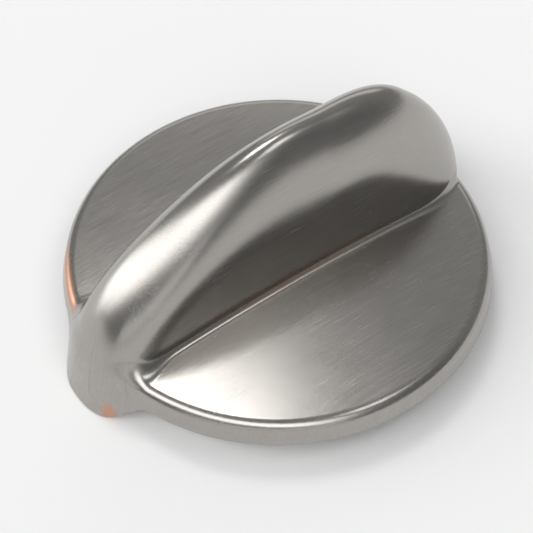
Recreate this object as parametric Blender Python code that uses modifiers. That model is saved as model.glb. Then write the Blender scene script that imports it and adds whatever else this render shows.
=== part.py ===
"""A stove knob: a plated die-cast body with a diametral grip, a nylon shaft insert and a leaf clip.

Metres, +Z up. The origin is on the spindle axis, in the plane of the panel that the hub stands on.
+X runs along the grip towards its tail, and the nose points to -X.
"""

import math

import bmesh
import bpy

# Round skirt of the body
SKIRT_RADIUS = 0.0274
SKIRT_DRAFT = 0.0004
SKIRT_LIFT = 0.0042
RIM_HEIGHT = 0.0033
RIM_EDGE_RADIUS = 0.0016
CROWN_RISE = 0.0008
RIM_WALL = 0.0018
PLATE_WALL = 0.0015

# Grip across the skirt
NOSE_LAP = 0.0032
TAIL_LAP = 0.0010
SLOPE_REACH = 0.0245
CREST_HEIGHT = 0.0259
FOOT_HALF_WIDTH = 0.0061
CREST_HALF_WIDTH = 0.0045
NOSE_ROUNDING = 0.0062
NOSE_FLARE = 0.0010
TAIL_ROUNDING = 0.0095
CREST_ROUNDING = 0.0120
NOSE_FILLET_RADIUS = 0.0025
GRIP_SIDE_WALL = 0.0014
GRIP_TIP_WALL = 0.0018
GRIP_CREST_WALL = 0.0060

# Hub, nylon insert and socket for the valve stem
HUB_RADIUS = 0.0076
HUB_EDGE_RADIUS = 0.0004
HUB_WEB = 0.0016
INSERT_RADIUS = 0.0053
INSERT_HALF_WIDTH = 0.00395
INSERT_TOP = 0.0120
INSERT_EDGE_RADIUS = 0.0003
FLATS_START = 0.0066
SOCKET_RADIUS = 0.00325
SOCKET_FLAT = 0.0024
SOCKET_FLOOR = 0.0104
SOCKET_LEAD_IN = 0.0005

# Leaf clip in the socket's flat
CLIP_THICKNESS = 0.0004
CLIP_WIDTH = 0.0036
CLIP_LENGTH = 0.0074
CLIP_START = 0.0018
CLIP_BOW = 0.00075
CLIP_SLOT_DEPTH = 0.0009

# Gap between pieces that touch, and how far a cutter runs past what it cuts
GAP = 0.0003
OVERRUN = 0.0010
MERGE_DISTANCE = 0.00001

# Shapes without a length: angles, shares and counts
SLOPE_ANGLE = math.radians(54.6)
CREST_ANGLE = math.radians(102.7)
TAIL_HOLD_ANGLE = math.radians(137)
CORNER_POWER = 5.9
FLANK_POWER = 2.6
WAIST_SHARE = 0.09
SQUARENESS = 0.5
TURN_STEPS = 72
HUB_STEPS = 48
SECTION_STEPS = 36
ARC_STEPS = 8
FLANK_STEPS = 8
FLANK_SPACING_POWER = 1.5
EDGE_STEPS = 4
CROWN_STEPS = 3
CLIP_STEPS = 10
SHARP_ANGLE = math.radians(35)

# Sizes that follow from those above
NOSE_REACH = SKIRT_RADIUS + NOSE_LAP
TAIL_REACH = SKIRT_RADIUS + TAIL_LAP
RIM_TOP = SKIRT_LIFT + RIM_HEIGHT
CEILING = RIM_TOP - PLATE_WALL
RECESS_RADIUS = SKIRT_RADIUS - RIM_WALL
SEAT_RADIUS = INSERT_RADIUS + GAP
SEAT_HALF_WIDTH = INSERT_HALF_WIDTH + GAP
SEAT_TOP = INSERT_TOP + GAP
CORE_START = HUB_RADIUS + HUB_WEB


def ease(share):
    """A soft step: zero below 0, one above 1, level at both ends."""
    share = min(max(share, 0.0), 1.0)
    return share * share * (3.0 - 2.0 * share)


def half_width(x, height):
    """Half the grip's width at a height above the rim's lower edge, before its ends and crest round off."""
    flank = FOOT_HALF_WIDTH - (FOOT_HALF_WIDTH - CREST_HALF_WIDTH) * (height / CREST_HEIGHT) ** FLANK_POWER
    return flank * (1.0 - WAIST_SHARE * max(1.0 - (x / SKIRT_RADIUS) ** 2, 0.0))


def reach(angle):
    """Distance from the grip's centre to its crest line: angle 0 points to the nose, pi to the tail.

    The nose, the slope behind it and the crest are the flats of a rounded polygon. Past the crest the
    line eases to the arc of the tail.
    """
    flats = ((0.0, NOSE_REACH), (SLOPE_ANGLE, SLOPE_REACH), (CREST_ANGLE, CREST_HEIGHT))
    total = sum((max(math.cos(angle - facing), 0.0) / away) ** CORNER_POWER for facing, away in flats)
    polygon = total ** (-1.0 / CORNER_POWER)
    over_tail = ease((angle - CREST_ANGLE) / (TAIL_HOLD_ANGLE - CREST_ANGLE))
    return polygon + (TAIL_REACH - polygon) * over_tail


def rounding(angle):
    """How far before the crest line the flank begins to round off: long at the ends, short on top."""
    end = NOSE_ROUNDING if angle < math.pi / 2 else TAIL_ROUNDING
    return CREST_ROUNDING + (end - CREST_ROUNDING) * abs(math.cos(angle))


def grip_section(angle, side_wall, tip_wall, crest_wall):
    """One side of the grip's section in the half-plane at this angle, from the crest to the centre.

    A quarter ellipse, a little squarer towards the nose, rounds the crest over into the flank, which
    runs on to the centre. The walls shrink the section, for the hollow inside the grip.
    """
    wall = tip_wall + (crest_wall - tip_wall) * math.sin(angle)
    length = max(rounding(angle) - wall, rounding(angle) / 2)
    run = reach(angle) - wall - length
    power = 2.0 / (2.0 + SQUARENESS * max(math.cos(angle), 0.0) ** 2)
    stations = []
    for step in range(ARC_STEPS + 1):
        turn = math.pi / 2 * step / ARC_STEPS
        stations.append((run + length * max(math.cos(turn), 0.0) ** power, math.sin(turn) ** power))
    for step in range(1, FLANK_STEPS):
        stations.append((run * (1.0 - (step / FLANK_STEPS) ** FLANK_SPACING_POWER), 1.0))
    points = []
    for distance, fullness in stations:
        x = -distance * math.cos(angle)
        height = distance * math.sin(angle)
        across = (half_width(x, height) - side_wall) * fullness
        points.append((x, -across, height))
    return points


def add_ring(bm, ring, drop):
    """Walls down from a ring of vertices, flared at the nose, and a flat face across their lower end."""
    if drop > 0.0:
        lower = []
        for vert in ring:
            end = max((NOSE_ROUNDING - NOSE_REACH - vert.co.x) / NOSE_ROUNDING, 0.0)
            lower.append(bm.verts.new((vert.co.x - NOSE_FLARE * end, vert.co.y, vert.co.z - drop)))
        for i, vert in enumerate(ring):
            after = (i + 1) % len(ring)
            bm.faces.new((vert, ring[after], lower[after], lower[i]))
        ring = lower
    bm.faces.new(ring)


def grip_mesh(name, side_wall, tip_wall, crest_wall, drop, drops_all_round):
    """The grip as a loft of sections that turn about its centre, from the nose over to the tail."""
    bm = bmesh.new()
    pivot = half_width(0.0, 0.0) - side_wall
    pivots = [bm.verts.new((0.0, sign * pivot, SKIRT_LIFT)) for sign in (-1, 1)]
    rows = []
    for step in range(SECTION_STEPS + 1):
        angle = math.pi * step / SECTION_STEPS
        side = grip_section(angle, side_wall, tip_wall, crest_wall)
        across = list(reversed(side)) + [(x, -y, z) for x, y, z in side[1:]]
        row = [bm.verts.new((x, y, z + SKIRT_LIFT)) for x, y, z in across]
        rows.append([pivots[0]] + row + [pivots[1]])
    for first, second in zip(rows, rows[1:]):
        for i in range(len(first) - 1):
            corners = (first[i], second[i], second[i + 1], first[i + 1])
            bm.faces.new(list(dict.fromkeys(corners)))
    if drops_all_round:
        add_ring(bm, rows[0] + rows[-1][-2:0:-1], drop)
    else:
        add_ring(bm, rows[0], drop)
        add_ring(bm, rows[-1], 0.0)
    bmesh.ops.recalc_face_normals(bm, faces=bm.faces)
    return finish_mesh(bm, name)


def finish_mesh(bm, name):
    """A mesh from a bmesh, shaded smooth except at its sharp edges."""
    mesh = bpy.data.meshes.new(name)
    bm.to_mesh(mesh)
    bm.free()
    mesh.shade_smooth()
    mesh.set_sharp_from_angle(angle=SHARP_ANGLE)
    return mesh


def place(mesh, collection, location=(0.0, 0.0, 0.0)):
    """An object for this mesh, in a collection."""
    obj = bpy.data.objects.new(mesh.name, mesh)
    obj.location = location
    collection.objects.link(obj)
    return obj


def turned(name, profile, collection, steps):
    """A profile of (radius, height) points, listed from top to bottom, turned about +Z."""
    mesh = bpy.data.meshes.new(name)
    points = [(radius, 0.0, height) for radius, height in profile]
    mesh.from_pydata(points, [(i, i + 1) for i in range(len(points) - 1)], [])
    obj = place(mesh, collection)
    screw = obj.modifiers.new("turn", "SCREW")
    screw.axis = "Z"
    screw.steps = steps
    screw.render_steps = steps
    screw.use_merge_vertices = True
    screw.merge_threshold = MERGE_DISTANCE
    screw.use_smooth_shade = True
    return obj


def block(name, low, high, collection):
    """A box between two corners, as a mesh of its own size."""
    bm = bmesh.new()
    bmesh.ops.create_cube(bm, size=1.0)
    for vert in bm.verts:
        vert.co = [a + (b - a) * (c + 0.5) for a, b, c in zip(low, high, vert.co)]
    mesh = bpy.data.meshes.new(name)
    bm.to_mesh(mesh)
    bm.free()
    return place(mesh, collection)


def cone(name, lower_radius, upper_radius, bottom, top, collection, steps=HUB_STEPS):
    """A cylinder or cone about the spindle axis, between two heights."""
    bm = bmesh.new()
    bmesh.ops.create_cone(
        bm, cap_ends=True, segments=steps, radius1=lower_radius, radius2=upper_radius, depth=top - bottom
    )
    return place(finish_mesh(bm, name), collection, (0.0, 0.0, (top + bottom) / 2))


def boolean(obj, other, operation, in_pieces=False):
    """Joins another object to this one, or cuts it away. The other object may be in several pieces."""
    modifier = obj.modifiers.new(other.name, "BOOLEAN")
    modifier.operation = operation
    modifier.solver = "EXACT"
    modifier.use_self = in_pieces
    modifier.object = other


def bevel(obj, width):
    """Rounds an object's sharp edges."""
    modifier = obj.modifiers.new("edges", "BEVEL")
    modifier.width = width
    modifier.segments = 2
    modifier.limit_method = "ANGLE"
    modifier.angle_limit = SHARP_ANGLE


def material(name, colour, metallic, roughness):
    """A plain material for one sub-part."""
    made = bpy.data.materials.new(name)
    made.use_nodes = True
    shader = made.node_tree.nodes["Principled BSDF"]
    shader.inputs["Base Color"].default_value = (*colour, 1.0)
    shader.inputs["Metallic"].default_value = metallic
    shader.inputs["Roughness"].default_value = roughness
    return made


def skirt_profile():
    """Half the skirt's section: the crowned top, the rounded rim edge, the rim wall and the flat underside."""
    flat_radius = SKIRT_RADIUS - RIM_EDGE_RADIUS
    points = []
    for step in range(CROWN_STEPS):
        share = step / CROWN_STEPS
        points.append((flat_radius * share, RIM_TOP + CROWN_RISE * (1.0 - share * share)))
    for step in range(EDGE_STEPS + 1):
        turn = math.pi / 2 * step / EDGE_STEPS
        radius = flat_radius + RIM_EDGE_RADIUS * math.sin(turn)
        points.append((radius, RIM_TOP - RIM_EDGE_RADIUS * (1.0 - math.cos(turn))))
    return points + [(SKIRT_RADIUS + SKIRT_DRAFT, SKIRT_LIFT), (0.0, SKIRT_LIFT)]


def fillet_outline(radius):
    """The plan of the fillets between the nose and a skirt of this radius.

    Each is an arc that touches the skirt's circle and the circle that fits the nose's side, closed
    through the middle of the nose.
    """
    side = FOOT_HALF_WIDTH ** 2 / NOSE_ROUNDING
    nose = NOSE_REACH - side
    wide, close = radius + NOSE_FILLET_RADIUS, side + NOSE_FILLET_RADIUS
    x = -(wide ** 2 - close ** 2 + nose ** 2) / (2.0 * nose)
    y = math.sqrt(wide ** 2 - x ** 2)
    start = math.atan2(-y, -nose - x) + 2.0 * math.pi
    end = math.atan2(-y, -x) + 2.0 * math.pi
    half = []
    for step in range(EDGE_STEPS + 1):
        turn = start + (end - start) * step / EDGE_STEPS
        half.append((x + NOSE_FILLET_RADIUS * math.cos(turn), y + NOSE_FILLET_RADIUS * math.sin(turn)))
    half.append((-nose + side, half[-1][1]))
    return [(-nose, 0.0)] + half + [(x, -y) for x, y in reversed(half)]


def make_fillets(cutters):
    """The fillets on both sides of the nose, as a loft between their plans at the rim's foot and top."""
    bm = bmesh.new()
    rings = []
    top = RIM_TOP - RIM_EDGE_RADIUS / 8
    for radius, height in ((SKIRT_RADIUS + SKIRT_DRAFT, SKIRT_LIFT), (SKIRT_RADIUS, top)):
        rings.append([bm.verts.new((x, y, height)) for x, y in fillet_outline(radius)])
    for i, vert in enumerate(rings[0]):
        after = (i + 1) % len(rings[0])
        bm.faces.new((vert, rings[0][after], rings[1][after], rings[1][i]))
    for ring in rings:
        bm.faces.new(ring)
    bmesh.ops.recalc_face_normals(bm, faces=bm.faces)
    return place(finish_mesh(bm, "nose_fillets"), cutters)


def make_body(parts, cutters):
    """The casting: skirt, grip and hub joined, then hollowed from below."""
    body = turned("knob_body", skirt_profile(), parts, TURN_STEPS)
    grip = place(grip_mesh("grip_form", 0.0, 0.0, 0.0, SKIRT_LIFT, False), cutters)
    boolean(body, grip, "UNION")
    boolean(body, make_fillets(cutters), "UNION")

    recess = cone("recess_cutter", RECESS_RADIUS, RECESS_RADIUS, -OVERRUN, CEILING, cutters, TURN_STEPS)
    boolean(body, recess, "DIFFERENCE")

    hub_profile = [
        (0.0, CEILING + PLATE_WALL / 2),
        (HUB_RADIUS, CEILING + PLATE_WALL / 2),
        (HUB_RADIUS, HUB_EDGE_RADIUS),
        (HUB_RADIUS - HUB_EDGE_RADIUS, 0.0),
        (0.0, 0.0),
    ]
    boolean(body, turned("hub_form", hub_profile, cutters, HUB_STEPS), "UNION")

    core = place(
        grip_mesh(
            "core_cutter", GRIP_SIDE_WALL, GRIP_TIP_WALL, GRIP_CREST_WALL, SKIRT_LIFT + OVERRUN, True
        ),
        cutters,
    )
    keep = block(
        "core_keep",
        (-CORE_START, -HUB_RADIUS, -SKIRT_LIFT),
        (CORE_START, HUB_RADIUS, CREST_HEIGHT + SKIRT_LIFT),
        cutters,
    )
    boolean(core, keep, "DIFFERENCE")
    boolean(body, core, "DIFFERENCE", in_pieces=True)

    seat = cone("seat_cutter", SEAT_RADIUS, SEAT_RADIUS, -OVERRUN, SEAT_TOP, cutters)
    for sign in (-1, 1):
        low, high = sorted((sign * SEAT_HALF_WIDTH, sign * (SEAT_RADIUS + OVERRUN)))
        cheek = block(
            "seat_cheek",
            (-SEAT_RADIUS - OVERRUN, low, FLATS_START + GAP),
            (SEAT_RADIUS + OVERRUN, high, SEAT_TOP + OVERRUN),
            cutters,
        )
        boolean(seat, cheek, "DIFFERENCE")
    boolean(body, seat, "DIFFERENCE")
    body.data.materials.append(material("satin nickel plate", (0.42, 0.41, 0.39), 1.0, 0.3))
    return body


def make_insert(parts, cutters):
    """The nylon insert: a round plug with two flats above, and the blind D socket for the stem."""
    insert = cone("shaft_insert", INSERT_RADIUS, INSERT_RADIUS, GAP, INSERT_TOP, parts)
    for sign in (-1, 1):
        low, high = sorted((sign * INSERT_HALF_WIDTH, sign * (INSERT_RADIUS + OVERRUN)))
        cheek = block(
            "insert_cheek",
            (-INSERT_RADIUS - OVERRUN, low, FLATS_START),
            (INSERT_RADIUS + OVERRUN, high, INSERT_TOP + OVERRUN),
            cutters,
        )
        boolean(insert, cheek, "DIFFERENCE")
    bevel(insert, INSERT_EDGE_RADIUS)

    socket = cone("socket_cutter", SOCKET_RADIUS, SOCKET_RADIUS, -OVERRUN, SOCKET_FLOOR, cutters)
    flat = block(
        "socket_flat",
        (-SOCKET_RADIUS - OVERRUN, SOCKET_FLAT, -OVERRUN - OVERRUN),
        (SOCKET_RADIUS + OVERRUN, SOCKET_RADIUS + OVERRUN, SOCKET_FLOOR + OVERRUN),
        cutters,
    )
    boolean(socket, flat, "DIFFERENCE")
    boolean(insert, socket, "DIFFERENCE")

    mouth = cone(
        "mouth_cutter",
        SOCKET_RADIUS + SOCKET_LEAD_IN + OVERRUN,
        SOCKET_RADIUS - OVERRUN,
        GAP - OVERRUN,
        GAP + SOCKET_LEAD_IN + OVERRUN,
        cutters,
    )
    boolean(insert, mouth, "DIFFERENCE")

    slot = block(
        "clip_slot",
        (-CLIP_WIDTH / 2 - GAP, 0.0, CLIP_START - GAP),
        (CLIP_WIDTH / 2 + GAP, SOCKET_FLAT + CLIP_SLOT_DEPTH, CLIP_START + CLIP_LENGTH + GAP),
        cutters,
    )
    boolean(insert, slot, "DIFFERENCE")
    insert.data.materials.append(material("black nylon", (0.02, 0.02, 0.022), 0.0, 0.5))
    return insert


def make_clip(parts):
    """The leaf clip: a thin strip, bowed towards the stem, lying in the slot of the socket's flat."""
    bm = bmesh.new()
    bmesh.ops.create_grid(bm, x_segments=1, y_segments=CLIP_STEPS, size=0.5)
    floor = SOCKET_FLAT + CLIP_SLOT_DEPTH - GAP - CLIP_THICKNESS / 2
    for vert in bm.verts:
        along = vert.co.y + 0.5
        vert.co = (
            CLIP_WIDTH * vert.co.x,
            floor - CLIP_BOW * math.sin(math.pi * along),
            CLIP_START + CLIP_LENGTH * along,
        )
    clip = place(finish_mesh(bm, "spring_clip"), parts)
    solid = clip.modifiers.new("sheet", "SOLIDIFY")
    solid.thickness = CLIP_THICKNESS
    solid.offset = 0.0
    clip.data.materials.append(material("spring steel", (0.55, 0.55, 0.56), 1.0, 0.25))
    return clip


def clear_scene():
    """Removes what the scene holds, and makes the collections for the knob and its cutters."""
    for obj in list(bpy.data.objects):
        bpy.data.objects.remove(obj, do_unlink=True)
    made = []
    for name in ("stove knob", "knob cutters"):
        collection = bpy.data.collections.new(name)
        bpy.context.scene.collection.children.link(collection)
        made.append(collection)
    return made


def main():
    parts, cutters = clear_scene()
    make_body(parts, cutters)
    make_insert(parts, cutters)
    make_clip(parts)
    for cutter in cutters.objects:
        cutter.hide_render = True
        cutter.display_type = "WIRE"


main()
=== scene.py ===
"""Looks for a stove knob: a fine plated shell, its hub, the nylon insert and the leaf clip, on a pale floor.

Metres, +Z up. The origin is on the spindle axis, in the plane of the panel that the hub stands on.
+X runs along the grip towards its tail, and the nose points to -X.
"""

import math

import bpy
import numpy as np
from bpy.props import FloatProperty, FloatVectorProperty, IntProperty, PointerProperty
from mathutils import Matrix, Vector


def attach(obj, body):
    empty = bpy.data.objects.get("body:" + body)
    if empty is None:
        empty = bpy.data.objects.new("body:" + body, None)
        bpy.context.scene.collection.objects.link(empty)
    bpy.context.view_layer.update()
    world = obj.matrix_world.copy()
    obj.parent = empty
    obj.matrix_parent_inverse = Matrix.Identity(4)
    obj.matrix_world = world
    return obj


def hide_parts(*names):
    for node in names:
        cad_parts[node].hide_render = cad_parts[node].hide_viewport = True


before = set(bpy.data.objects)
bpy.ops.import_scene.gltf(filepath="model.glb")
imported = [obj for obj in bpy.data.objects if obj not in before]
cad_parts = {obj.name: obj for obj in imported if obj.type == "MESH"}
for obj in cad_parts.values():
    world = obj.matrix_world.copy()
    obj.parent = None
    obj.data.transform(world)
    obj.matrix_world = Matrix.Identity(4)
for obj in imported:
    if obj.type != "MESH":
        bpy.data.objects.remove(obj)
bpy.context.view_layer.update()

bl_info = {
    "name": "Stove Knob",
    "version": (1, 0, 0),
    "blender": (4, 5, 0),
    "location": "View3D > Sidebar > Stove Knob",
    "description": "Builds a plated pointer knob for a cooker, piece by piece",
    "category": "Add Mesh",
}


# Where the nickel is worn through: on the rim's top edge (spans outwards, along the rim and up) and on the
# nose's lower corner (spans along x, y and z)
RIM_WEAR_ANGLE = math.radians(155)
RIM_WEAR_RADIUS = 0.0269
RIM_WEAR_HEIGHT = 0.0068
RIM_WEAR_SPAN = (0.0012, 0.0085, 0.0012)
NOSE_WEAR_PLACE = (-0.0288, -0.0046, 0.0)
NOSE_WEAR_SPAN = (0.0017, 0.0018, 0.0040)
# A painted reflection: a thin copper-coloured line along the near crease (spans across, along and up)
CREASE_REFLECTION_OUT = 0.0057
CREASE_REFLECTION_ALONG = -0.0020
CREASE_REFLECTION_HEIGHT = 0.0090
CREASE_REFLECTION_SPAN = (0.0007, 0.0190, 0.0013)

# Angles from the nose between which the lower edge rises from the panel plane to the rim
FOOT_RISE_START = math.radians(7.2)
FOOT_RISE_END = math.radians(20.5)

# Where the fillet starts to change towards the nose and the tail, and over how far, in skirt radii
NOSE_BLEND = (0.72, 0.22)
TAIL_BLEND = (0.62, 0.34)
TAIL_FOOT_SHARE = 0.2

# How the surfaces are traced: how far rays go, how many points they give, and what length a radian counts for
LEVEL_REACH = 0.04
RAY_REACH = 0.05
OUTLINE_POINTS = 1400
SWEEP_POINTS = 320
SWEEP_SLOWNESS = 3.0
PIVOT_SHARE = 0.86
OUTER_TURNING = 0.004
INNER_TURNING = 0.002
LEAST_HALF_WIDTH = 0.0004
HUB_WALL_SHARE = 0.8

# Noise cells to the metre along x, y and z
BRUSHED_ALONG = (160.0, 6500.0, 6500.0)
BRUSHED_UP = (4200.0, 4200.0, 240.0)
BROAD_WAVES = (30.0, 500.0, 500.0)
CLOUDS = (110.0, 110.0, 110.0)
FLECKS = (2600.0, 2600.0, 1100.0)

# Stage: the floor, the soft lights and the photograph's camera
FLOOR_HALF = 3.0
FLOOR_LEVEL = -0.00002
GRIP_TURN = math.radians(34.724)
AIM = (-0.001452, 0.0, 0.0042)
CAMERA_RISE = math.radians(51.476)
CAMERA_ROLL = 0.013
CAMERA_DISTANCE = 0.240
CAMERA_DROP = -0.000097
CAMERA_LENS = 125.13
BAND_AXIS = (0.353, 0.777, 0.625)
BAND_SHIFT = 0.05
SOFTBOXES = (
    ("overhead softbox", (-0.16, 0.35, 0.92), 0.70, 0.20, 0.18, 7.0),
    ("crown softbox", (0.40, -0.20, 0.89), 0.70, 0.14, 0.22, 3.0),
    ("back softbox", (0.10, 0.88, 0.44), 0.80, 0.70, 0.30, 0.8),
    ("front strip", (-0.10, -1.0, 0.20), 0.60, 0.80, 0.16, 0.8),
)


def length(name, description, value):
    """A size in metres for a property group."""
    return FloatProperty(
        name=name, description=description, default=value, min=0.0, precision=5, unit="LENGTH"
    )


def share(name, description, value):
    """A number from 0 to 1 for a property group."""
    return FloatProperty(
        name=name, description=description, default=value, min=0.0, max=1.0, subtype="FACTOR"
    )


def number(name, description, value):
    """A number above zero for a property group."""
    return FloatProperty(name=name, description=description, default=value, min=0.0)


def angle(name, description, degrees):
    """An angle for a property group, given in degrees."""
    return FloatProperty(name=name, description=description, default=math.radians(degrees), unit="ROTATION")


def colour(name, description, value):
    """A linear colour for a property group."""
    return FloatVectorProperty(
        name=name, description=description, default=value, size=3, min=0.0, max=1.0, subtype="COLOR"
    )


class SkirtSizes(bpy.types.PropertyGroup):
    """Sizes of the round skirt."""

    radius: length("Radius", "Radius of the rim's wall at its top", 0.0274)
    draft: length("Draft", "How far the rim's wall leans out by its lower edge", 0.0004)
    lift: length("Lift", "Height of the rim's lower edge above the panel", 0.0042)
    rim_height: length("Rim Height", "Height of the rim", 0.0033)
    edge: length("Edge Radius", "Rounding of the rim's top edge", 0.0016)
    crown: length("Crown", "Rise of the skirt's top towards its middle", 0.0008)
    lip: length("Lip Radius", "Rounding of the rim's lower edges", 0.00022)
    rim_wall: length("Rim Wall", "Thickness of the rim's wall", 0.0018)
    plate_wall: length("Plate Wall", "Thickness of the skirt's plate", 0.0015)


class GripSizes(bpy.types.PropertyGroup):
    """Sizes of the grip that crosses the skirt."""

    nose: length("Nose Reach", "Distance from the spindle to the flat of the nose", 0.0306)
    tail: length("Tail Reach", "Distance from the spindle to the tail", 0.02838)
    slope: length("Slope Reach", "Distance from the grip's centre to the slope behind the nose", 0.0245)
    crest: length("Crest Height", "Height of the crest above the rim's lower edge", 0.0259)
    foot_half: length("Foot Half Width", "Half the grip's width at its foot", 0.0061)
    crest_half: length("Crest Half Width", "Half the width that the flanks run to at the crest", 0.0045)
    nose_round: length("Nose Rounding", "Length over which the nose rounds off in plan", 0.0062)
    tail_round: length("Tail Rounding", "Length over which the tail rounds off in plan", 0.0095)
    crest_round: length("Crest Rounding", "Height over which the crest rounds off", 0.0120)
    flare: length("Nose Flare", "How far the nose leans out by its foot", 0.00086)
    waist: share("Waist", "How much narrower the grip is in the middle than at its ends", 0.09)
    squareness: share("Squareness", "How much squarer than an ellipse the nose is in plan", 0.5)
    flank_power: number("Flank Power", "How full the grip's flanks are: 1 is flat", 2.6)
    corner_power: number("Corner Power", "How sharply the nose, slope and crest meet", 5.9)
    slope_angle: angle("Slope Angle", "Angle from the nose that the slope faces", 54.6)
    crest_angle: angle("Crest Angle", "Angle from the nose that the crest faces", 102.7)
    tail_hold: angle("Tail Hold", "Angle from the nose past which the outline is a plain arc", 137)
    side_wall: length("Side Wall", "Thickness of the grip's side walls", 0.0014)
    tip_wall: length("Tip Wall", "Thickness of the nose and tail", 0.0018)
    crest_wall: length("Crest Wall", "Depth of metal under the crest", 0.0060)


class FilletSizes(bpy.types.PropertyGroup):
    """Radii of the fillets between grip and skirt."""

    crease: length("Crease", "Fillet along the foot of the grip", 0.0009)
    nose: length("Nose", "Fillet between the nose and the rim", 0.0026)
    tail: length("Tail", "Fillet that runs the tail into the skirt", 0.0014)
    inside: length("Inside", "Fillet at the corners of the hollow side", 0.0004)


class HubSizes(bpy.types.PropertyGroup):
    """Sizes of the hub and of the seat for the insert."""

    radius: length("Radius", "Outer radius of the hub", 0.0076)
    edge: length("Edge", "Rounding of the hub's end edge", 0.0004)
    web: length("Web", "Metal between the hub and the cored pockets", 0.0016)
    seat: length("Seat Radius", "Radius of the seat for the insert", 0.0056)
    seat_half: length("Seat Half Width", "Half the distance between the flats of the seat", 0.00425)
    seat_top: length("Seat Top", "Height of the end of the seat", 0.0123)
    flats_start: length("Flats Start", "Height at which the seat's flats begin", 0.0069)
    top: length("Top", "Height at which the hub's block ends inside the grip", 0.0248)


class GridSizes(bpy.types.PropertyGroup):
    """How finely the surfaces are divided."""

    columns: IntProperty(name="Columns", description="Columns round half the skirt", default=230, min=16)
    rows: IntProperty(name="Rows", description="Rows from the rim's foot to the crest", default=150, min=16)
    inner_rows: IntProperty(name="Inner Rows", description="Rows on the hollow side", default=60, min=8)
    turns: IntProperty(name="Turns", description="Columns round the hub", default=96, min=12)


class FinishColours(bpy.types.PropertyGroup):
    """Colours of the finishes, linear."""

    nickel: colour("Nickel", "Satin nickel plate", (0.42, 0.403, 0.380))
    nickel_dark: colour("Dark Nickel", "Nickel in the deeper brush lines", (0.374, 0.357, 0.336))
    # Copper's colour also paints the reflection along the near crease
    copper: colour("Copper", "Copper that shows where the nickel is worn through", (0.62, 0.30, 0.18))
    nylon: colour("Nylon", "Glass-filled black nylon", (0.018, 0.018, 0.020))
    steel: colour("Spring Steel", "Rolled spring strip", (0.56, 0.56, 0.57))


class StageColours(bpy.types.PropertyGroup):
    """Colours and strengths of the stage."""

    floor: share("Floor", "Grey of the floor", 0.92)
    front: share("Front", "Strength of the room's light from the photographer's side", 0.20)
    back: share("Back", "Strength of the room's light from the far side", 0.33)
    band: number("Band", "Strength of the curved band of light above the photographer", 2.8)


def ease(share_along):
    """A soft step: zero below 0, one above 1, level at both ends."""
    t = np.clip(share_along, 0.0, 1.0)
    return t * t * (3.0 - 2.0 * t)


def round_union(first, second, radius):
    """Two distance fields joined with a round fillet: the nearer of the two, less the fillet's arc."""
    a = np.maximum(radius - first, 0.0)
    b = np.maximum(radius - second, 0.0)
    return np.maximum(radius, np.minimum(first, second)) - np.sqrt(a * a + b * b)


def gradient(field, x, y, z, step=1e-7):
    """The slope of a field at whole arrays of points, from differences over a small step."""
    here = field(x, y, z)
    ahead = [field(x + step, y, z), field(x, y + step, z), field(x, y, z + step)]
    return np.stack([value - here for value in ahead], axis=-1) / step


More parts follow.
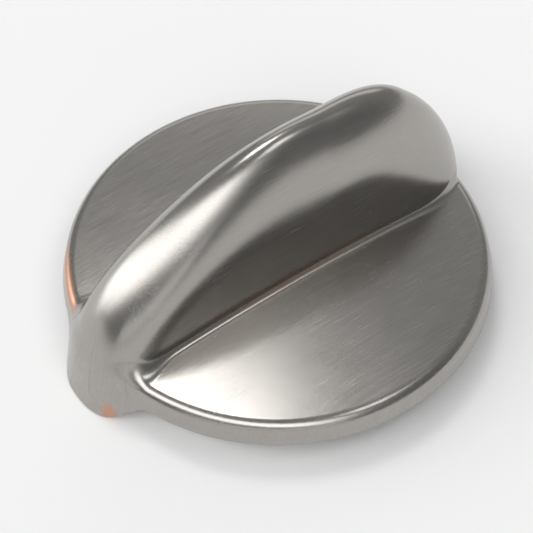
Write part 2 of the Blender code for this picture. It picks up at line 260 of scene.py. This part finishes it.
class KnobForm:
    """The outside of the knob, or the hollow under it, as a distance field.

    The skirt is a round plate with a crowned top and a rounded rim. The grip is bounded by the ellipse
    ((d - run) / rounding)^n + (y / w)^n = 1, where d is the distance from the grip's centre in the plane
    of symmetry, run + rounding is its reach at that angle, w is its half width at that height, and n is
    2 or, towards the nose, a little more. The reach at angle a is the rounded polygon
    sum((cos(a - f) / r)^p)^(-1/p) of three flats, each facing f at distance r, and eases to the tail past
    the crest. The hollow is the same form without its walls.
    """

    def __init__(self, skirt, grip, fillets, hollow):
        self.lift = skirt.lift
        self.skirt_radius = skirt.radius
        self.grip = grip
        self.side = grip.side_wall if hollow else 0.0
        self.tip = grip.tip_wall if hollow else 0.0
        self.depth = grip.crest_wall if hollow else 0.0
        self.flare = 0.0 if hollow else grip.flare
        self.top = skirt.lift + skirt.rim_height - (skirt.plate_wall if hollow else 0.0)
        self.radius = skirt.radius - (skirt.rim_wall if hollow else 0.0)
        self.draft = 0.0 if hollow else skirt.draft / (skirt.rim_height - skirt.edge)
        self.crown = 0.0 if hollow else skirt.crown
        self.edge = fillets.inside if hollow else skirt.edge
        self.crease = fillets.inside if hollow else fillets.crease
        self.nose_fillet = fillets.inside if hollow else fillets.nose
        self.tail_fillet = fillets.inside if hollow else fillets.tail

    def skirt_field(self, x, y, z):
        """Distance to a plate with a rounded edge: level on top, upright at the rim, an arc between."""
        radius = np.sqrt(x * x + y * y)
        flat = self.radius - self.edge
        crown = self.crown * np.clip(1.0 - (radius / flat) ** 2, 0.0, 1.0)
        below = np.clip(self.top - self.edge - z, 0.0, None)
        out = radius - flat - self.draft * below
        up = z - (self.top - self.edge) - crown
        corner = np.sqrt(np.maximum(out, 0.0) ** 2 + np.maximum(up, 0.0) ** 2)
        return corner + np.minimum(np.maximum(out, up), 0.0) - self.edge

    def grip_ratio(self, x, y, z):
        """The ellipse's root less one: zero on the grip's surface, below zero inside."""
        g = self.grip
        height = z - self.lift
        drop = np.clip(-height / self.lift, 0.0, 1.5)
        end = np.clip((g.nose_round - g.nose - x) / g.nose_round, 0.0, 1.0)
        x = x + self.flare * end * drop
        height = np.maximum(height, 0.0)
        turn = np.arctan2(height, -x)
        flats = ((0.0, g.nose), (g.slope_angle, g.slope), (g.crest_angle, g.crest))
        shares = [np.maximum(np.cos(turn - facing), 0.0) / away for facing, away in flats]
        reach = sum(part ** g.corner_power for part in shares) ** (-1.0 / g.corner_power)
        reach = reach + (g.tail - reach) * ease((turn - g.crest_angle) / (g.tail_hold - g.crest_angle))
        end_round = np.where(np.cos(turn) > 0.0, g.nose_round, g.tail_round)
        rounding = g.crest_round + (end_round - g.crest_round) * np.abs(np.cos(turn))
        wall = self.tip + (self.depth - self.tip) * np.sin(turn)
        rounding = np.maximum(rounding - wall, rounding / 2)
        distance = np.sqrt(x * x + height * height)
        past = np.maximum(distance - (reach - wall - rounding), 0.0) / rounding
        level = np.minimum(height / g.crest, 1.25)
        waist = 1.0 - g.waist * np.clip(1.0 - (x / self.skirt_radius) ** 2, 0.0, 1.0)
        half = (g.foot_half - (g.foot_half - g.crest_half) * level ** g.flank_power) * waist - self.side
        half = np.maximum(half, LEAST_HALF_WIDTH)
        power = 2.0 + g.squareness * np.maximum(np.cos(turn), 0.0) ** 2
        return (past ** power + (np.abs(y) / half) ** power + 1e-12) ** (1.0 / power) - 1.0

    def grip_field(self, x, y, z):
        """The grip's ratio, scaled by its own slope so that it measures distance near the surface."""
        value = self.grip_ratio(x, y, z)
        slope = np.linalg.norm(gradient(self.grip_ratio, x, y, z), axis=-1)
        return value / np.maximum(slope, 20.0)

    def fillet(self, x, z):
        """The fillet's radius: small along the crease, larger at the nose and, above the rim, at the tail."""
        to_nose = ease((-x / self.radius - NOSE_BLEND[0]) / NOSE_BLEND[1])
        to_tail = ease((x / self.radius - TAIL_BLEND[0]) / TAIL_BLEND[1])
        tail_foot = self.crease * TAIL_FOOT_SHARE
        at_tail = tail_foot + (self.tail_fillet - tail_foot) * ease((z - self.top) / self.edge + 0.5)
        return self.crease + (self.nose_fillet - self.crease) * to_nose + (at_tail - self.crease) * to_tail

    def field(self, x, y, z):
        """The whole form: skirt and grip joined by the fillet."""
        return round_union(self.skirt_field(x, y, z), self.grip_field(x, y, z), self.fillet(x, z))


def march(field, start, direction, near, far, steps=28):
    """Where rays leave the form: spans are halved, keeping the half over which the field turns positive."""
    low = np.full(direction.shape[:-1], near)
    high = np.full(direction.shape[:-1], far)
    for _ in range(steps):
        middle = (low + high) / 2.0
        p = start + direction * middle[..., None]
        inside = field(p[..., 0], p[..., 1], p[..., 2]) < 0.0
        low = np.where(inside, middle, low)
        high = np.where(inside, high, middle)
    return start + direction * ((low + high) / 2.0)[..., None]


def spread(points, count, turning):
    """Lines of points respaced along their last-but-one axis.

    The new points lie evenly over length plus a fixed length for each radian that the line turns.
    """
    chord = np.diff(points, axis=-2)
    size = np.linalg.norm(chord, axis=-1)
    way = chord / np.maximum(size, 1e-12)[..., None]
    bend = np.arccos(np.clip((way[..., 1:, :] * way[..., :-1, :]).sum(-1), -1.0, 1.0))
    bend = np.concatenate([bend[..., :1], bend], axis=-1)
    total = np.concatenate([np.zeros_like(size[..., :1]), np.cumsum(size + turning * bend, axis=-1)], axis=-1)
    even = np.linspace(0.0, 1.0, count)
    flat_total = total.reshape(-1, total.shape[-1])
    flat_points = points.reshape(-1, points.shape[-2], 3)
    out = np.empty((flat_points.shape[0], count, 3))
    for i, (line, road) in enumerate(zip(flat_points, flat_total)):
        for axis in range(3):
            out[i, :, axis] = np.interp(even * road[-1], road, line[:, axis])
    return out.reshape(points.shape[:-2] + (count, 3))


def settle(field, points):
    """Points moved onto the form: each goes down the field's slope by its value, three times."""
    for _ in range(3):
        x, y, z = points[..., 0], points[..., 1], points[..., 2]
        slope = gradient(field, x, y, z)
        points = points - slope * (field(x, y, z) / (slope * slope).sum(-1))[..., None]
    return points


def base_height(turn, lift):
    """Height of the lower edge round the knob: the panel plane under the nose, rising softly to the rim."""
    return lift * ease((turn - FOOT_RISE_START) / (FOOT_RISE_END - FOOT_RISE_START))


def form_surface(form, turns, heights, rows, turning):
    """Half of a form's surface as columns that rise from its lower edge to the crest line.

    Each column lies in an upright plane through its foot and a point on the grip's centre line, and is
    swept by rays that turn from level to upright about that point.
    """
    level = np.stack([-np.cos(turns), -np.sin(turns), np.zeros_like(turns)], axis=-1)
    start = np.zeros_like(level)
    start[:, 2] = heights
    foot = march(form.field, start, level, 0.0, LEVEL_REACH)
    up = np.array([0.0, 0.0, 1.0])
    pivot = foot * np.array([PIVOT_SHARE, 0.0, 0.0]) + up * heights[:, None]
    out = foot - pivot
    reach = np.linalg.norm(out, axis=-1, keepdims=True)
    out = out / reach
    lean = np.linspace(0.0, np.pi / 2, SWEEP_POINTS)
    lean[:-1] = np.arctan(np.tan(lean[:-1]) / SWEEP_SLOWNESS)
    rays = out[:, None, :] * np.cos(lean)[None, :, None] + up * np.sin(lean)[None, :, None]
    lines = march(form.field, pivot[:, None, :], rays, 0.0, RAY_REACH)
    return settle(form.field, spread(lines, rows, turning))


def add_piece(name, vertices, faces, material, sharp=math.radians(38)):
    """A mesh object from arrays, shaded smooth except at its sharp edges, riding on the knob's one body."""
    mesh = bpy.data.meshes.new(name)
    mesh.from_pydata(vertices.tolist(), [], faces)
    mesh.validate()
    mesh.update()
    mesh.shade_smooth()
    mesh.set_sharp_from_angle(angle=sharp)
    mesh.materials.append(material)
    piece = bpy.data.objects.new(name, mesh)
    bpy.context.scene.collection.objects.link(piece)
    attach(piece, "root")
    return piece


def flank_angles(form, skirt, columns):
    """Angles round half the knob from the nose to the tail, even over its outline's length and turning."""
    dense = np.linspace(0.0, np.pi, OUTLINE_POINTS)
    level = np.stack([-np.cos(dense), -np.sin(dense), np.zeros_like(dense)], axis=-1)
    start = np.zeros_like(level)
    start[:, 2] = base_height(dense, skirt.lift) + skirt.lip
    outline = march(form.field, start, level, 0.0, LEVEL_REACH)
    even = spread(outline[None], columns + 1, OUTER_TURNING)[0]
    turns = np.arctan2(-even[:, 1], -even[:, 0])
    turns[0] = 0.0
    turns[-1] = np.pi
    return turns


def mirrored(half, close_rows):
    """A grid over the near half and its mirror image over the far half, sharing points where y is zero."""
    columns, rows = half.shape[:2]
    near = np.arange(columns * rows).reshape(columns, rows)
    far = near + columns * rows
    far[0] = near[0]
    far[-1] = near[-1]
    if close_rows:
        far[:, 0] = near[:, 0]
        far[:, -1] = near[:, -1]
    points = np.concatenate([half.reshape(-1, 3), (half * np.array([1.0, -1.0, 1.0])).reshape(-1, 3)])
    faces = np.concatenate([grid_faces(near), grid_faces(far)[:, ::-1]])
    used, faces = np.unique(faces, return_inverse=True)
    return points[used], faces.reshape(-1, 4)


def grid_faces(index):
    """Four-sided faces between neighbouring columns and rows of point numbers."""
    return np.stack([index[:-1, :-1], index[1:, :-1], index[1:, 1:], index[:-1, 1:]], axis=-1).reshape(-1, 4)


def shell_half(sizes):
    """The near half of the casting: down the hollow's wall, round the lower edge, and up the outside."""
    skirt, grip, fillets, grid = sizes.skirt, sizes.grip, sizes.fillets, sizes.grid
    outside = KnobForm(skirt, grip, fillets, False)
    hollow = KnobForm(skirt, grip, fillets, True)
    turns = flank_angles(outside, skirt, grid.columns)
    heights = base_height(turns, skirt.lift) + skirt.lip
    outer = form_surface(outside, turns, heights, grid.rows, OUTER_TURNING)
    inner = form_surface(hollow, turns, heights, grid.inner_rows, INNER_TURNING)
    out = outer[:, 0] - inner[:, 0]
    out[:, 2] = 0.0
    out /= np.linalg.norm(out, axis=-1, keepdims=True)
    arc = np.linspace(0.0, np.pi / 2, 4)[1:]
    inward = [skirt.lip * (1.0 - math.cos(t)) * out for t in arc]
    down = [skirt.lip * math.sin(t) * np.array([0.0, 0.0, -1.0]) for t in arc]
    outer_lip = [outer[:, 0] - step + drop for step, drop in zip(inward, down)]
    inner_lip = [inner[:, 0] + step + drop for step, drop in zip(inward, down)]
    lip = np.stack(inner_lip + outer_lip[::-1], axis=1)
    half = np.concatenate([inner[:, ::-1], lip, outer], axis=1)
    half[0, :, 1] = 0.0
    half[-1, :, 1] = 0.0
    half[:, 0, 1] = 0.0
    half[:, -1, 1] = 0.0
    return half


def hub_rings(sizes):
    """The hub as rings: out of the seat's end, down its bore, round the hub's end and up into the grip.

    The seat's upper half is a circle clipped to two flats. The block above the skirt is a box whose
    half width follows the hollow's flank.
    """
    hub, skirt, grip = sizes.hub, sizes.skirt, sizes.grip
    turn = np.linspace(0.0, 2.0 * np.pi, sizes.grid.turns, endpoint=False)
    cos, sin = np.cos(turn), np.sin(turn)
    ceiling = skirt.lift + skirt.rim_height - skirt.plate_wall
    rings = []

    def ring(x_radius, y_radius, height, clip=1.0):
        y = np.clip(y_radius * sin, -clip, clip)
        rings.append(np.stack([x_radius * cos, y, np.full_like(turn, height)], axis=-1))

    ring(hub.seat, hub.seat, hub.seat_top, hub.seat_half)
    ring(hub.seat, hub.seat, hub.flats_start, hub.seat_half)
    ring(hub.seat, hub.seat, hub.flats_start)
    ring(hub.seat, hub.seat, hub.edge / 2)
    ring(hub.seat + hub.edge / 2, hub.seat + hub.edge / 2, 0.0)
    ring(hub.radius - hub.edge, hub.radius - hub.edge, 0.0)
    for t in np.linspace(np.pi / 8, np.pi / 2, 4):
        radius = hub.radius - hub.edge * (1.0 - math.sin(t))
        ring(radius, radius, hub.edge * (1.0 - math.cos(t)))
    joint = ceiling + skirt.plate_wall / 8
    ring(hub.radius, hub.radius, joint)
    long_half = hub.radius + hub.web
    for height in np.linspace(joint, hub.top, 8):
        level = (height - skirt.lift) / grip.crest
        past = max(height - skirt.lift - grip.crest + grip.crest_round, 0.0) / grip.crest_round
        wide_half = grip.foot_half - (grip.foot_half - grip.crest_half) * level ** grip.flank_power
        wide_half *= (1.0 - grip.waist) * math.sqrt(1.0 - past * past)
        wide_half -= grip.side_wall * HUB_WALL_SHARE
        scale = 1.0 / np.maximum(np.abs(cos) / long_half, np.abs(sin) / wide_half)
        rings.append(np.stack([scale * cos, scale * sin, np.full_like(turn, height)], axis=-1))
    return np.stack(rings, axis=1)


def closed_rings(rings):
    """Points and faces of rings joined round, with a flat face over each end."""
    columns, rows = rings.shape[:2]
    index = np.arange(columns * rows).reshape(columns, rows)
    faces = grid_faces(np.concatenate([index, index[:1]])).tolist()
    return rings.reshape(-1, 3), faces + [index[::-1, 0].tolist(), index[:, -1].tolist()]


class Value:
    """A number that varies over a surface. Its operators add Math nodes to the finish it belongs to."""

    def __init__(self, finish, socket):
        self.finish = finish
        self.socket = socket

    def _math(self, operation, first, second):
        return self.finish.node("ShaderNodeMath", {"operation": operation}, {0: first, 1: second})

    def __add__(self, other):
        return self._math("ADD", self, other)

    def __radd__(self, other):
        return self._math("ADD", other, self)

    def __sub__(self, other):
        return self._math("SUBTRACT", self, other)

    def __rsub__(self, other):
        return self._math("SUBTRACT", other, self)

    def __mul__(self, other):
        return self._math("MULTIPLY", self, other)

    def __rmul__(self, other):
        return self._math("MULTIPLY", other, self)

    def __truediv__(self, other):
        return self._math("DIVIDE", self, other)

    def __rtruediv__(self, other):
        return self._math("DIVIDE", other, self)

    def __pow__(self, other):
        return self._math("POWER", self, other)

    def clipped(self):
        """The same number, held between 0 and 1."""
        return self.finish.node("ShaderNodeClamp", {}, {"Value": self})

    def between(self, low, high):
        """A soft step: 0 at low, 1 at high."""
        return self.finish.node(
            "ShaderNodeMapRange",
            {"interpolation_type": "SMOOTHSTEP"},
            {"Value": self, "From Min": low, "From Max": high},
        )


class Finish:
    """A material or world in the making: its nodes, its shader, and the place or direction that they read."""

    def __init__(self, owner, shader, place):
        self.owner = owner
        self.owner.use_nodes = True
        self.tree = self.owner.node_tree
        self.shader = self.tree.nodes[shader]
        self.place = self.node("ShaderNodeTexCoord", output=place)
        parts = self.tree.nodes.new("ShaderNodeSeparateXYZ")
        self.tree.links.new(self.place.socket, parts.inputs[0])
        self.x, self.y, self.z = (Value(self, socket) for socket in parts.outputs)

    def node(self, kind, settings=None, inputs=None, output=0):
        """Adds a node of a type, with its settings first, then the values or links of its sockets."""
        made = self.tree.nodes.new(kind)
        for key, value in (settings or {}).items():
            if key == "stops":
                self._set_stops(made.color_ramp, value)
            else:
                setattr(made, key, value)
        for key, value in (inputs or {}).items():
            if isinstance(value, Value):
                self.tree.links.new(value.socket, made.inputs[key])
            else:
                made.inputs[key].default_value = value
        return Value(self, made.outputs[output])

    def _set_stops(self, ramp, stops):
        while len(ramp.elements) < len(stops):
            ramp.elements.new(0.5)
        for element, (position, shade) in zip(ramp.elements, stops):
            element.position = position
            element.color = (*shade, 1.0)

    def mix(self, factor, first, second):
        """Two colours mixed: the first where the factor is 0, the second where it is 1."""
        first, second = (c if isinstance(c, Value) else (*c, 1.0) for c in (first, second))
        return self.node(
            "ShaderNodeMix", {"data_type": "RGBA"}, {0: factor, 6: first, 7: second}, output=2
        )

    def noise(self, cells, detail=2.0, roughness=0.5, shift=(0.0, 0.0, 0.0)):
        """Noise with so many cells to the metre along each axis."""
        moved = self.node("ShaderNodeMapping", {}, {"Vector": self.place, "Location": shift, "Scale": cells})
        inputs = {"Vector": moved, "Scale": 1.0, "Detail": detail, "Roughness": roughness}
        return self.node("ShaderNodeTexNoise", {}, inputs)

    def towards(self, way):
        """How far a place or direction lies along a direction."""
        return self.x * way[0] + self.y * way[1] + self.z * way[2]

    def nearness(self, offsets, spans):
        """1 where all the offsets are zero, falling to 0 at the ellipsoid with these spans."""
        away = sum((offset / span) ** 2.0 for offset, span in zip(offsets, spans))
        return 1.0 - away.clipped()

    def feed(self, name, value):
        """Sends a value or colour to a socket of the shader."""
        self.tree.links.new(value.socket, self.shader.inputs[name])

    def bump(self, height, distance, strength=1.0, normal=None):
        """A bump from a height that runs from 0 to 1, so many metres deep."""
        inputs = {"Height": height, "Distance": distance, "Strength": strength}
        if normal is not None:
            inputs["Normal"] = normal
        return self.node("ShaderNodeBump", {}, inputs)


def material_finish(name):
    """A finish for a new material, read from the place on the object."""
    return Finish(bpy.data.materials.new(name), "Principled BSDF", "Object")


def set_constants(finish, **values):
    """Numbers and colours that are the same all over, set on the shader's own sockets."""
    for name, value in values.items():
        socket = finish.shader.inputs[name.replace("_", " ")]
        socket.default_value = (*value, 1.0) if isinstance(value, (tuple, list)) else value


def nickel_finish(colours):
    """Satin nickel brushed along the grip, worn to copper on the rim and the nose's corner, with a painted
    reflection in copper along the crease.
    """
    f = material_finish("brushed nickel plate")
    set_constants(f, Metallic=1.0, Specular_IOR_Level=0.5)
    along = f.noise(BRUSHED_ALONG, 3.0, 0.6)
    upright = f.noise(BRUSHED_UP, 3.0, 0.6, (0.3, 0.1, 0.0))
    on_nose = f.x.between(-0.0245, -0.0285)
    on_wall = f.z.between(0.0066, 0.0052)
    side = (on_nose + on_wall).clipped()
    brush = along * (1.0 - side) + upright * side
    broad = f.noise(BROAD_WAVES, 2.0, 0.5, (0.0, 0.2, 0.4))
    cloud = f.noise(CLOUDS, 3.0, 0.55, (0.7, 0.0, 0.1))
    radius = (f.x ** 2.0 + f.y ** 2.0) ** 0.5
    tangent = f.x * math.sin(RIM_WEAR_ANGLE) - f.y * math.cos(RIM_WEAR_ANGLE)
    outward = f.x * math.cos(RIM_WEAR_ANGLE) + f.y * math.sin(RIM_WEAR_ANGLE)
    rim_wear = f.nearness((radius - RIM_WEAR_RADIUS, tangent, f.z - RIM_WEAR_HEIGHT), RIM_WEAR_SPAN)
    rim_wear = rim_wear * outward.between(0.0, RIM_WEAR_RADIUS / 2)
    nose_wear = f.nearness([axis - at for axis, at in zip((f.x, f.y, f.z), NOSE_WEAR_PLACE)], NOSE_WEAR_SPAN)
    # A painted reflection: a thin copper-coloured line along the near crease
    along_crease = (f.y + CREASE_REFLECTION_OUT, f.x - CREASE_REFLECTION_ALONG, f.z - CREASE_REFLECTION_HEIGHT)
    painted_crease_reflection = f.nearness(along_crease, CREASE_REFLECTION_SPAN)
    fleck = f.noise(FLECKS, 4.0, 0.7, (0.2, 0.6, 0.0))
    copper_share = ((rim_wear + nose_wear) * 1.15 + (fleck - 0.5) * 2.2).between(0.35, 0.95) * 0.72
    plate = f.mix(brush.between(0.30, 0.70), tuple(colours.nickel_dark), tuple(colours.nickel))
    # From here the copper share holds both the worn copper and the painted crease reflection
    copper_share = (copper_share + painted_crease_reflection.between(0.0, 0.8) * 0.22).clipped()
    f.feed("Base Color", f.mix(copper_share, plate, tuple(colours.copper)))
    f.feed("Roughness", (0.25 + (cloud - 0.5) * 0.08 + (brush - 0.5) * 0.10 + copper_share * 0.16).clipped())
    fine = f.bump(brush, 0.000004, 1.0)
    f.feed("Normal", f.bump(broad, 0.000010, 0.5, fine))
    return f.owner


def nylon_finish(colours):
    """Black glass-filled nylon: a dull moulded skin with a fine grain and pale fibre flecks."""
    f = material_finish("moulded nylon")
    set_constants(f, Metallic=0.0, IOR=1.53)
    grain = f.noise((2600.0, 2600.0, 2600.0), 3.0, 0.6)
    fibre = f.noise((900.0, 5200.0, 5200.0), 2.0, 0.5, (0.1, 0.0, 0.3))
    flecks = fibre.between(0.66, 0.78)
    f.feed("Base Color", f.mix(flecks * 0.5, tuple(colours.nylon), (0.060, 0.060, 0.062)))
    f.feed("Roughness", (0.46 + (grain - 0.5) * 0.3).clipped())
    f.feed("Normal", f.bump(grain, 0.00002))
    return f.owner


def steel_finish(colours):
    """Rolled spring strip: bright steel with fine lines along its length."""
    f = material_finish("spring steel")
    set_constants(f, Metallic=1.0)
    rolled = f.noise((5200.0, 5200.0, 300.0), 3.0, 0.6)
    f.feed("Base Color", f.mix(rolled, (0.42, 0.42, 0.43), tuple(colours.steel)))
    f.feed("Roughness", (0.22 + (rolled - 0.5) * 0.2).clipped())
    f.feed("Normal", f.bump(rolled, 0.00001))
    return f.owner


def floor_finish(shade):
    """Pale matt board under the knob."""
    f = material_finish("pale board")
    set_constants(f, Metallic=0.0, Roughness=0.9, Specular_IOR_Level=0.1)
    tooth = f.noise((900.0, 900.0, 900.0), 2.0, 0.5)
    f.feed("Base Color", f.mix(tooth, (shade * 0.995,) * 3, (shade,) * 3))
    return f.owner


def soft_room(stage):
    """Even light all round, dimmer from the photographer's side, and a curved band like a bent reflector.

    The band keeps near a plane through the knob, and fades out to the right.
    """
    f = Finish(bpy.data.worlds.new("soft room"), "Background", "Generated")
    set_constants(f, Color=(1.0, 1.0, 1.0))
    away = f.towards(to_knob((0.0, 1.0, 0.0)))
    across = (f.towards(to_knob(BAND_AXIS)) + BAND_SHIFT) ** 2.0
    band = across.between(0.10, 0.015) * f.towards(to_knob((1.0, 0.0, 0.0))).between(0.65, 0.05)
    room = stage.front + (stage.back - stage.front) * away.between(-0.35, 0.45)
    f.feed("Strength", room + stage.band * band)
    return f.owner


class KnobSizes(bpy.types.PropertyGroup):
    """All the sizes and colours of the knob and its stage."""

    skirt: PointerProperty(type=SkirtSizes)
    grip: PointerProperty(type=GripSizes)
    fillets: PointerProperty(type=FilletSizes)
    hub: PointerProperty(type=HubSizes)
    grid: PointerProperty(type=GridSizes)
    colours: PointerProperty(type=FinishColours)
    stage: PointerProperty(type=StageColours)


class KNOB_OT_body(bpy.types.Operator):
    """Build the plated casting: its fine shell and the hub inside it"""

    bl_idname = "knob.body"
    bl_label = "Plated Body"

    def execute(self, context):
        sizes = context.scene.knob_sizes
        nickel = nickel_finish(sizes.colours)
        points, faces = mirrored(shell_half(sizes), True)
        shell = add_piece("plated_shell", points, faces.tolist(), nickel)
        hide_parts("knob_body")
        points, faces = closed_rings(hub_rings(sizes))
        hub = add_piece("hub_block", points, faces, nickel)
        return {"FINISHED"}


class KNOB_OT_insert(bpy.types.Operator):
    """Finish the nylon insert and the leaf clip in its socket"""

    bl_idname = "knob.insert"
    bl_label = "Insert and Clip"

    def execute(self, context):
        colours = context.scene.knob_sizes.colours
        for node, finish in (("shaft_insert", nylon_finish(colours)), ("spring_clip", steel_finish(colours))):
            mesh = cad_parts[node].data
            mesh.materials.clear()
            mesh.materials.append(finish)
        return {"FINISHED"}


class KNOB_OT_stage(bpy.types.Operator):
    """Set up the pale floor, the soft lights and the camera"""

    bl_idname = "knob.stage"
    bl_label = "Stage"

    def execute(self, context):
        stage = context.scene.knob_sizes.stage
        mesh = bpy.data.meshes.new("floor")
        half = FLOOR_HALF
        corners = [(-half, -half, 0), (half, -half, 0), (half, half, 0), (-half, half, 0)]
        mesh.from_pydata(corners, [], [(0, 1, 2, 3)])
        mesh.materials.append(floor_finish(stage.floor))
        floor = bpy.data.objects.new("floor", mesh)
        floor.location = (0.0, 0.0, FLOOR_LEVEL)
        context.scene.collection.objects.link(floor)
        context.scene.world = soft_room(stage)
        for name, way, distance, width, height, radiance in SOFTBOXES:
            add_softbox(name, way, distance, width, height, radiance)
        add_camera()
        context.scene.view_settings.view_transform = "Standard"
        return {"FINISHED"}


def to_knob(way):
    """A direction or point seen from the photograph's side, turned into the knob's own frame."""
    return Matrix.Rotation(-GRIP_TURN, 3, "Z") @ Vector(way)


def add_softbox(name, way, distance, width, height, radiance):
    """A soft area light that faces the knob: its power gives the stated radiance over its face."""
    light = bpy.data.lights.new(name, "AREA")
    light.shape = "RECTANGLE"
    light.size = width
    light.size_y = height
    light.energy = radiance * math.pi * width * height
    back = Vector(way).normalized()
    hint = Vector((0.0, 1.0, 0.0)) if back.z > 0.5 else Vector((0.0, 0.0, 1.0))
    side = hint.cross(back).normalized()
    axes = Matrix([to_knob(side), to_knob(back.cross(side)), to_knob(back)]).transposed()
    obj = bpy.data.objects.new(name, light)
    obj.matrix_world = Matrix.Translation(to_knob(back) * distance) @ axes.to_4x4()
    obj.visible_camera = False
    bpy.context.scene.collection.objects.link(obj)


def add_camera():
    """The photograph's camera: above the near side, rolled a little, with a long lens."""
    rise, roll = CAMERA_RISE, CAMERA_ROLL
    ahead = Vector((0.0, math.cos(rise), -math.sin(rise)))
    up = Vector((0.0, math.sin(rise), math.cos(rise)))
    right = Vector((1.0, 0.0, 0.0))
    place = Vector((AIM[0], 0.0, 0.0)) - ahead * CAMERA_DISTANCE + up * CAMERA_DROP
    right_rolled = right * math.cos(roll) - up * math.sin(roll)
    up_rolled = right * math.sin(roll) + up * math.cos(roll)
    turn = Matrix.Rotation(-GRIP_TURN, 3, "Z")
    axes = Matrix([turn @ right_rolled, turn @ up_rolled, turn @ -ahead]).transposed()
    data = bpy.data.cameras.new("camera")
    data.lens = CAMERA_LENS
    data.sensor_width = 36.0
    data.sensor_fit = "HORIZONTAL"
    data.clip_start = 0.01
    data.clip_end = 20.0
    camera = bpy.data.objects.new("camera", data)
    camera.matrix_world = Matrix.Translation(turn @ place + Vector((0.0, 0.0, AIM[2]))) @ axes.to_4x4()
    bpy.context.scene.collection.objects.link(camera)
    bpy.context.scene.camera = camera


class KNOB_PT_panel(bpy.types.Panel):
    """Lists the knob's pieces and their sizes"""

    bl_label = "Stove Knob"
    bl_idname = "KNOB_PT_panel"
    bl_space_type = "VIEW_3D"
    bl_region_type = "UI"
    bl_category = "Stove Knob"

    def draw(self, context):
        sizes = context.scene.knob_sizes
        for name in KnobSizes.__annotations__:
            group = getattr(sizes, name)
            box = self.layout.box()
            for key in group.__annotations__:
                box.prop(group, key)
        for operator in (KNOB_OT_body, KNOB_OT_insert, KNOB_OT_stage):
            self.layout.operator(operator.bl_idname)


CLASSES = (
    SkirtSizes,
    GripSizes,
    FilletSizes,
    HubSizes,
    GridSizes,
    FinishColours,
    StageColours,
    KnobSizes,
    KNOB_OT_body,
    KNOB_OT_insert,
    KNOB_OT_stage,
    KNOB_PT_panel,
)


def register():
    for cls in CLASSES:
        bpy.utils.register_class(cls)
    bpy.types.Scene.knob_sizes = PointerProperty(type=KnobSizes)


def unregister():
    del bpy.types.Scene.knob_sizes
    for cls in reversed(CLASSES):
        bpy.utils.unregister_class(cls)


def main():
    register()
    bpy.ops.knob.body()
    bpy.ops.knob.insert()
    bpy.ops.knob.stage()


if __name__ == "__main__":
    main()
